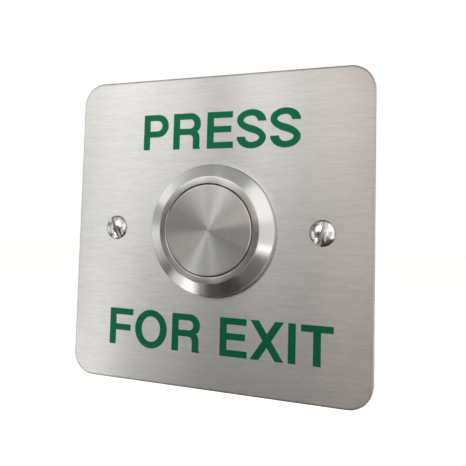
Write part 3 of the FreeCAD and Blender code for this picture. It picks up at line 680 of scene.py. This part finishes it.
moulded("seal_rubber", (0.018, 0.018, 0.018, 1), (0.028, 0.028, 0.028, 1), 0.6, 0.75, 0.15, 0.3)
moulded("plunger_plastic", (0.50, 0.045, 0.03, 1), (0.58, 0.06, 0.04, 1), 0.35, 0.48, 0.2, 0.2)
moulded("block_plastic", (0.022, 0.022, 0.024, 1), (0.034, 0.034, 0.036, 1), 0.42, 0.58, 0.22, 0.35)
print("finishes", len(finishes))

# %% [markdown]
# ### Finishes on the solids
# The record names a finish for every node. They could be set one by one, but a loop over the record
# forgets none, and follows when a node is added.

# %% Dress the solids
for part in frame["record"]["subparts"]:
    for slot in nodes[part["node"]].material_slots:
        slot.material = finishes[part["material_slot"]]

# %% [markdown]
# ## Turned pieces with real threads
# A lathe makes a piece from one outline, turned about an axis, and so does the helper below: it places
# the outline's points at many angles and joins them with faces. A thread only moves some of those points
# in and out as the angle grows, so it comes from the same helper. The thread dies out at both ends as a
# cut one does.

# %% A helper for threads
flat_share = 0.12


def thread_dip(height, angle, pitch, start, end):
    """How deep the thread's groove is at a height and angle, from 0 on its crest to 1 at its root."""
    phase = (height / pitch - angle / (2 * math.pi)) % 1.0
    flank = min(max((abs(2 * phase - 1) - flat_share) / (1 - 2 * flat_share), 0.0), 1.0)
    fade = min((height - start) / pitch, (end - height) / pitch, 1.0)
    return flank * max(fade, 0.0)


def threaded_rows(crest, depth, pitch, start, end, rows_per_turn=8):
    """Outline rows of a thread: each is a radius, a height and how the radius follows the angle."""
    count = round((end - start) / pitch * rows_per_turn)
    heights = [start + (end - start) * i / count for i in range(count + 1)]
    return [(crest, h, lambda a, h=h: crest - depth * thread_dip(h, a, pitch, start, end)) for h in heights]


print("thread helper ready")

# %% A helper that turns outlines


def turned_mesh(name, outline, segments, ring=True):
    """A mesh turned about Y. A ring closes on itself; otherwise both ends meet on the axis."""
    shape = bmesh.new()
    angles = [2 * math.pi * n / segments for n in range(segments)]
    rows = []
    for radius, height, *follow in outline:
        if radius == 0:
            rows.append([shape.verts.new((0, height * MM, 0))] * segments)
            continue
        row = []
        for angle in angles:
            r = (follow[0](angle) if follow else radius) * MM
            row.append(shape.verts.new((r * math.cos(angle), height * MM, r * math.sin(angle))))
        rows.append(row)
    pairs = list(zip(rows, rows[1:] + rows[:1])) if ring else list(zip(rows, rows[1:]))
    for here, there in pairs:
        for n in range(segments):
            m = (n + 1) % segments
            corners = [here[n], there[n], there[m], here[m]]
            distinct = [c for i, c in enumerate(corners) if c not in corners[:i]]
            shape.faces.new(distinct)
    bmesh.ops.recalc_face_normals(shape, faces=shape.faces)
    mesh = bpy.data.meshes.new(name)
    shape.to_mesh(mesh)
    shape.free()
    return mesh


def show(name, mesh, finish, sharp_degrees=32.0):
    """An object for a mesh, with its finish and smooth shading that stops at sharp edges."""
    mesh.materials.clear()
    mesh.materials.append(finish)
    mesh.shade_smooth()
    mesh.set_sharp_from_angle(angle=math.radians(sharp_degrees))
    piece = bpy.data.objects.new(name, mesh)
    scene.collection.objects.link(piece)
    return piece


def arc(centre_radius, centre_height, size, start, end, steps=8):
    """Points of a rounded edge. Its angles are in degrees, from outward towards the back."""
    turns = [math.radians(start + (end - start) * i / steps) for i in range(steps + 1)]
    return [(centre_radius + size * math.cos(a), centre_height + size * math.sin(a)) for a in turns]


print("turning helpers ready")

# %% [markdown]
# ## The bezel and its barrel
# One bar of stainless steel makes the bezel in front, with its wide polished chamfer, and the barrel
# behind, with a fine thread for the nut. The solid has a plain barrel, so this piece replaces it. Its
# edges are rounded a little, as a deburred edge is: the thin bright line round the rim comes from there.

# %% Sizes of the bezel and its barrel
bezel_radius = bezel_high.x
bezel_front = bezel_low.y
barrel_end = bezel_high.y
rim_height = 1.5
rim_edge = 0.45
face_radius = 14.4
face_edge = 0.08
land_fall = 0.045
bore_radius = 12.5
bore_edge = 0.27
barrel_radius = 15.0
gasket_inner = 15.8
gasket_outer = gasket_high.x
gasket_top = gasket_low.y
web_front = 4.05
web_back = 6.05
stem_hole = 3.1
groove_radius = 13.3
groove_front = node_box("base_circlip")[0].y
groove_back = groove_front + 1.1
thread_pitch = 1.0
thread_depth = 0.5
thread_start = node_box("lock_washer")[0].y
barrel_chamfer = 0.6

slope = math.degrees(math.atan2(plate_front - rim_height - bezel_front, bezel_radius - face_radius))
print("chamfer slope", round(slope, 1), "degrees")

# %% Turn the bezel with its thread
reach = rim_edge * math.tan(math.radians((90 - slope) / 2))
rim_centre = (bezel_radius - rim_edge, plate_front - rim_height + reach)
bezel_outline = (
    arc(bore_radius + bore_edge, bezel_front + bore_edge, bore_edge, 180, 270)
    + [(face_radius - face_edge, bezel_front + land_fall)]
    + [(face_radius + face_edge, bezel_front + land_fall + 0.5 * face_edge)]
    + arc(*rim_centre, rim_edge, slope - 90, 0)
    + [(bezel_radius, plate_front), (gasket_outer, plate_front), (gasket_outer, gasket_top)]
    + [(gasket_inner, gasket_top), (gasket_inner, plate_front), (barrel_radius, plate_front)]
    + threaded_rows(barrel_radius, thread_depth, thread_pitch, thread_start, barrel_end - barrel_chamfer)
    + [(barrel_radius - barrel_chamfer, barrel_end), (bore_radius, barrel_end)]
    + [(bore_radius, groove_back), (groove_radius, groove_back), (groove_radius, groove_front)]
    + [(bore_radius, groove_front), (bore_radius, web_back), (stem_hole, web_back)]
    + [(stem_hole, web_front), (bore_radius, web_front)]
)
bezel_mesh = turned_mesh("bezel_ring", bezel_outline, 192)
bezel_piece = show("bezel_ring", bezel_mesh, finishes["bezel_steel"], sharp_degrees=10.0)
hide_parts("bezel_body")
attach(bezel_piece, "housing")
print("bezel", len(bezel_mesh.vertices), "vertices")

# %% [markdown]
# ## The cap
# The cap is turned from the same steel, with its skirt, its stem and the grooves for the seal and the
# spring clip. The solid has all of that. It is turned again here for the sake of its face: points laid
# out in rings carry the lathe's fine lines and the rounded edge better than the solid's long triangles,
# and the small mark that the tool leaves at the centre can be added.

# %% Sizes of the cap
seal_low, seal_high = node_box("cap_seal")
clip_low, clip_high = node_box("stem_clip")
cap_radius = cap_high.x
cap_front = cap_low.y
cap_edge = 0.3
cap_underside = node_box("return_spring")[0].y
skirt_length = 6.6
skirt_end = cap_front + skirt_length
skirt_wall = 4.1
skirt_bore = cap_radius - skirt_wall
seal_play = 0.12
seal_groove = (seal_low.y - seal_play, seal_high.y + seal_play)
seal_seat = 0.01
seal_groove_radius = seal_high.x - (seal_high.y - seal_low.y) - seal_seat
stem_radius = 3.0
clip_groove_radius = 2.3
stem_shoulder = node_box("plunger")[0].y
spigot_radius = 1.6
cap_end = cap_high.y
tool_mark = 0.35
tool_mark_depth = 0.04
face_rings = (1.5, 3, 4.5, 6, 7.5, 9, 10.5, 11.6)
print("cap radius", round(cap_radius, 2), "seal groove", [round(y, 2) for y in seal_groove])

# %% Turn the cap
cap_outline = [(0, cap_front + tool_mark_depth), (tool_mark, cap_front)]
cap_outline += [(r, cap_front) for r in face_rings]
cap_outline += arc(cap_radius - cap_edge, cap_front + cap_edge, cap_edge, -90, 0)
cap_outline += [
    (cap_radius, seal_groove[0]), (seal_groove_radius, seal_groove[0]), (seal_groove_radius, seal_groove[1]),
    (cap_radius, seal_groove[1]), (cap_radius, skirt_end), (skirt_bore, skirt_end),
    (skirt_bore, cap_underside), (stem_radius, cap_underside), (stem_radius, clip_low.y),
    (clip_groove_radius, clip_low.y), (clip_groove_radius, clip_high.y), (stem_radius, clip_high.y),
    (stem_radius, stem_shoulder), (spigot_radius, stem_shoulder), (spigot_radius, cap_end), (0, cap_end),
]
cap_mesh = turned_mesh("turned_cap", cap_outline, 160, ring=False)
cap_piece = show("turned_cap", cap_mesh, finishes["cap_steel"], sharp_degrees=20.0)
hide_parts("push_cap")
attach(cap_piece, "button")
print("cap", len(cap_mesh.vertices), "vertices, end", round(cap_end, 2))

# %% [markdown]
# ## Slotted screws
# The two screws on the front have a raised countersunk head, polished like a mirror, with a slot cut
# across it. The head is turned first, then a box is cut out of it, and the cut's edges are rounded by a
# bevel. The thread is a second closed shape that starts inside the head, because a bevel would otherwise
# round the thread away too. The wire screws behind are made by the same steps with a flat head.

# %% Helpers for a slotted screw


def solid_after(mesh, modify):
    """The mesh that some modifiers make of another."""
    holder = bpy.data.objects.new("holder", mesh)
    scene.collection.objects.link(holder)
    modify(holder)
    view = bpy.context.evaluated_depsgraph_get()
    result = bpy.data.meshes.new_from_object(holder.evaluated_get(view))
    bpy.data.objects.remove(holder)
    return result


def box_mesh(low, high):
    """A closed box between two corners in millimetres."""
    shape = bmesh.new()
    bmesh.ops.create_cube(shape, size=1.0)
    low, high = Vector(low) * MM, Vector(high) * MM
    for vertex in shape.verts:
        vertex.co = Vector([a + (b - a) * (c + 0.5) for a, b, c in zip(low, high, vertex.co)])
    mesh = bpy.data.meshes.new("cutter")
    shape.to_mesh(mesh)
    shape.free()
    return mesh


def slotted(head_mesh, slot_low, slot_high, edge_mm):
    """A head with a slot cut out of it and its edges rounded."""
    cutter = bpy.data.objects.new("cutter", box_mesh(slot_low, slot_high))
    scene.collection.objects.link(cutter)

    def cut(holder):
        slot = holder.modifiers.new("slot", "BOOLEAN")
        slot.object = cutter
        slot.solver = "EXACT"
        bevel = holder.modifiers.new("edges", "BEVEL")
        bevel.width = edge_mm * MM
        bevel.segments = 2
        bevel.angle_limit = math.radians(35)

    result = solid_after(head_mesh, cut)
    bpy.data.objects.remove(cutter)
    return result


def joined(name, meshes, placement):
    """One mesh from several, moved to its place."""
    shape = bmesh.new()
    for mesh in meshes:
        shape.from_mesh(mesh)
    shape.transform(placement)
    result = bpy.data.meshes.new(name)
    shape.to_mesh(result)
    shape.free()
    return result


print("screw helpers ready")

# %% The two screws of the plate
shank_radius = 1.75
screw_tip = screw_high.y
screw_point = 0.5
screw_pitch = 0.6
screw_thread = 0.3
slot_half = 0.5
slot_floor = crown + 1.35
slot_edge = 0.07
cutter_reach = 5.0
cutter_clear = 1.0
dome_steps = 14
screw_leans = {"left": -23.0, "right": 19.0}
head_outline = [(0, crown)]
for step in range(1, dome_steps + 1):
    r = head_radius * step / dome_steps
    head_outline.append((r, crown + dome - math.sqrt(dome ** 2 - r ** 2)))
neck = plate_front + head_radius - shank_radius
neck_end = neck + 1.2
thread_root = neck + 0.8
head_outline += [(shank_radius, neck), (shank_radius, neck_end), (0, neck_end)]
thread_outline = (
    [(0, thread_root)]
    + threaded_rows(shank_radius, screw_thread, screw_pitch, neck + 0.9, screw_tip - screw_point)
    + [(shank_radius - screw_point, screw_tip), (0, screw_tip)]
)
slot_low = (-slot_half, crown - cutter_clear, -cutter_reach)
slot_high = (slot_half, slot_floor, cutter_reach)
for side, lean in screw_leans.items():
    head = slotted(turned_mesh("head", head_outline, 96, ring=False), slot_low, slot_high, slot_edge)
    thread = turned_mesh("thread", thread_outline, 40, ring=False)
    place = Matrix.Translation((fixing_x * MM * (-1 if side == "left" else 1), 0, 0))
    turned = Matrix.Rotation(math.radians(lean), 4, "Y")
    whole = joined("fixing_screw_" + side, [head, thread], place @ turned)
    screw = show("fixing_screw_" + side, whole, finishes["screw_steel"])
    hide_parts("fixing_screws")
    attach(screw, "housing")
    print(screw.name, len(whole.vertices), "vertices")

# %% Sizes of the wire screws
wire_low, wire_high = node_box("wire_screws")
wire_head = 2.6
wire_head_rise = 1.8
wire_head_edge = 0.3
wire_shank = 1.5
wire_pitch = 0.5
wire_thread = 0.26
wire_point = 0.3
wire_neck = wire_head_rise + 0.9
wire_slot_half = 0.4
wire_slot_depth = 0.9
wire_slot_edge = 0.06
wire_top = wire_high.z
wire_length = 4.97 + wire_head_rise
wire_x = wire_high.x - wire_head
wire_depth = (wire_low.y + wire_high.y) / 2
wire_head_outline = [
    (0, 0), (wire_head - wire_head_edge, 0), (wire_head, wire_head_edge), (wire_head, wire_head_rise),
    (wire_shank, wire_head_rise), (wire_shank, wire_neck), (0, wire_neck),
]
wire_thread_outline = (
    [(0, wire_head_rise + 0.3)]
    + threaded_rows(wire_shank, wire_thread, wire_pitch, wire_head_rise + 0.4, wire_length - wire_point)
    + [(wire_shank - wire_point, wire_length), (0, wire_length)]
)
wire_slot_low = (-cutter_reach, -cutter_clear, -wire_slot_half)
wire_slot_high = (cutter_reach, wire_slot_depth, wire_slot_half)
print("wire screws at x", round(wire_x, 2), "depth", round(wire_depth, 2))

# %% Place a wire screw at each clamp
for column, side in (("left", -1), ("right", 1)):
    for row, up in (("lower", -1), ("upper", 1)):
        head = turned_mesh("head", wire_head_outline, 64, ring=False)
        head = slotted(head, wire_slot_low, wire_slot_high, wire_slot_edge)
        thread = turned_mesh("thread", wire_thread_outline, 32, ring=False)
        place = Matrix.Translation(Vector((side * wire_x, wire_depth, up * wire_top)) * MM)
        face = Matrix.Rotation(math.radians(-90 * up), 4, "X")
        name = f"wire_screw_{row}_{column}"
        screw = show(name, joined(name, [head, thread], place @ face), finishes["zinc_steel"])
        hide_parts("wire_screws")
        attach(screw, "housing")
print("four wire screws placed")

# %% [markdown]
# ## The return spring
# Behind the cap a coil of spring wire pushes it out again. The solid is a plain helix. A real one closes
# its end coils so that it stands flat, so here the pitch is small in the first and last turn.

# %% How the coil rises
spring_low, spring_high = node_box("return_spring")
wire_radius = 0.4
coil_radius = spring_high.x - wire_radius
coil_start = spring_low.y + wire_radius
coil_rise = spring_high.y - wire_radius - coil_start
closed_rise = 2 * wire_radius
active_turns = 3.5
steps_per_turn = 56
ring_points = 12


def coil_height(turn):
    """How far the wire's middle has risen after some turns."""
    if turn < 1:
        return closed_rise * turn
    if turn < 1 + active_turns:
        return closed_rise + (coil_rise - 2 * closed_rise) * (turn - 1) / active_turns
    return coil_rise - closed_rise * (2 + active_turns - turn)


# %% Wind the return spring
spring_shape = bmesh.new()
rows = []
steps = round((2 + active_turns) * steps_per_turn)
for step in range(steps + 1):
    turn = (2 + active_turns) * step / steps
    angle = 2 * math.pi * turn
    row = []
    for point in range(ring_points):
        bend = 2 * math.pi * point / ring_points
        r = (coil_radius + wire_radius * math.cos(bend)) * MM
        y = (coil_start + coil_height(turn) + wire_radius * math.sin(bend)) * MM
        row.append(spring_shape.verts.new((r * math.cos(angle), y, r * math.sin(angle))))
    rows.append(row)
for here, there in zip(rows, rows[1:]):
    for n in range(ring_points):
        m = (n + 1) % ring_points
        spring_shape.faces.new((here[n], here[m], there[m], there[n]))
spring_shape.faces.new(rows[0][::-1])
spring_shape.faces.new(rows[-1])
bmesh.ops.recalc_face_normals(spring_shape, faces=spring_shape.faces)
spring_mesh = bpy.data.meshes.new("return_coil")
spring_shape.to_mesh(spring_mesh)
spring_shape.free()
spring = show("return_coil", spring_mesh, finishes["spring_steel"])
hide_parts("return_spring")
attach(spring, "housing")
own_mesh(spring)
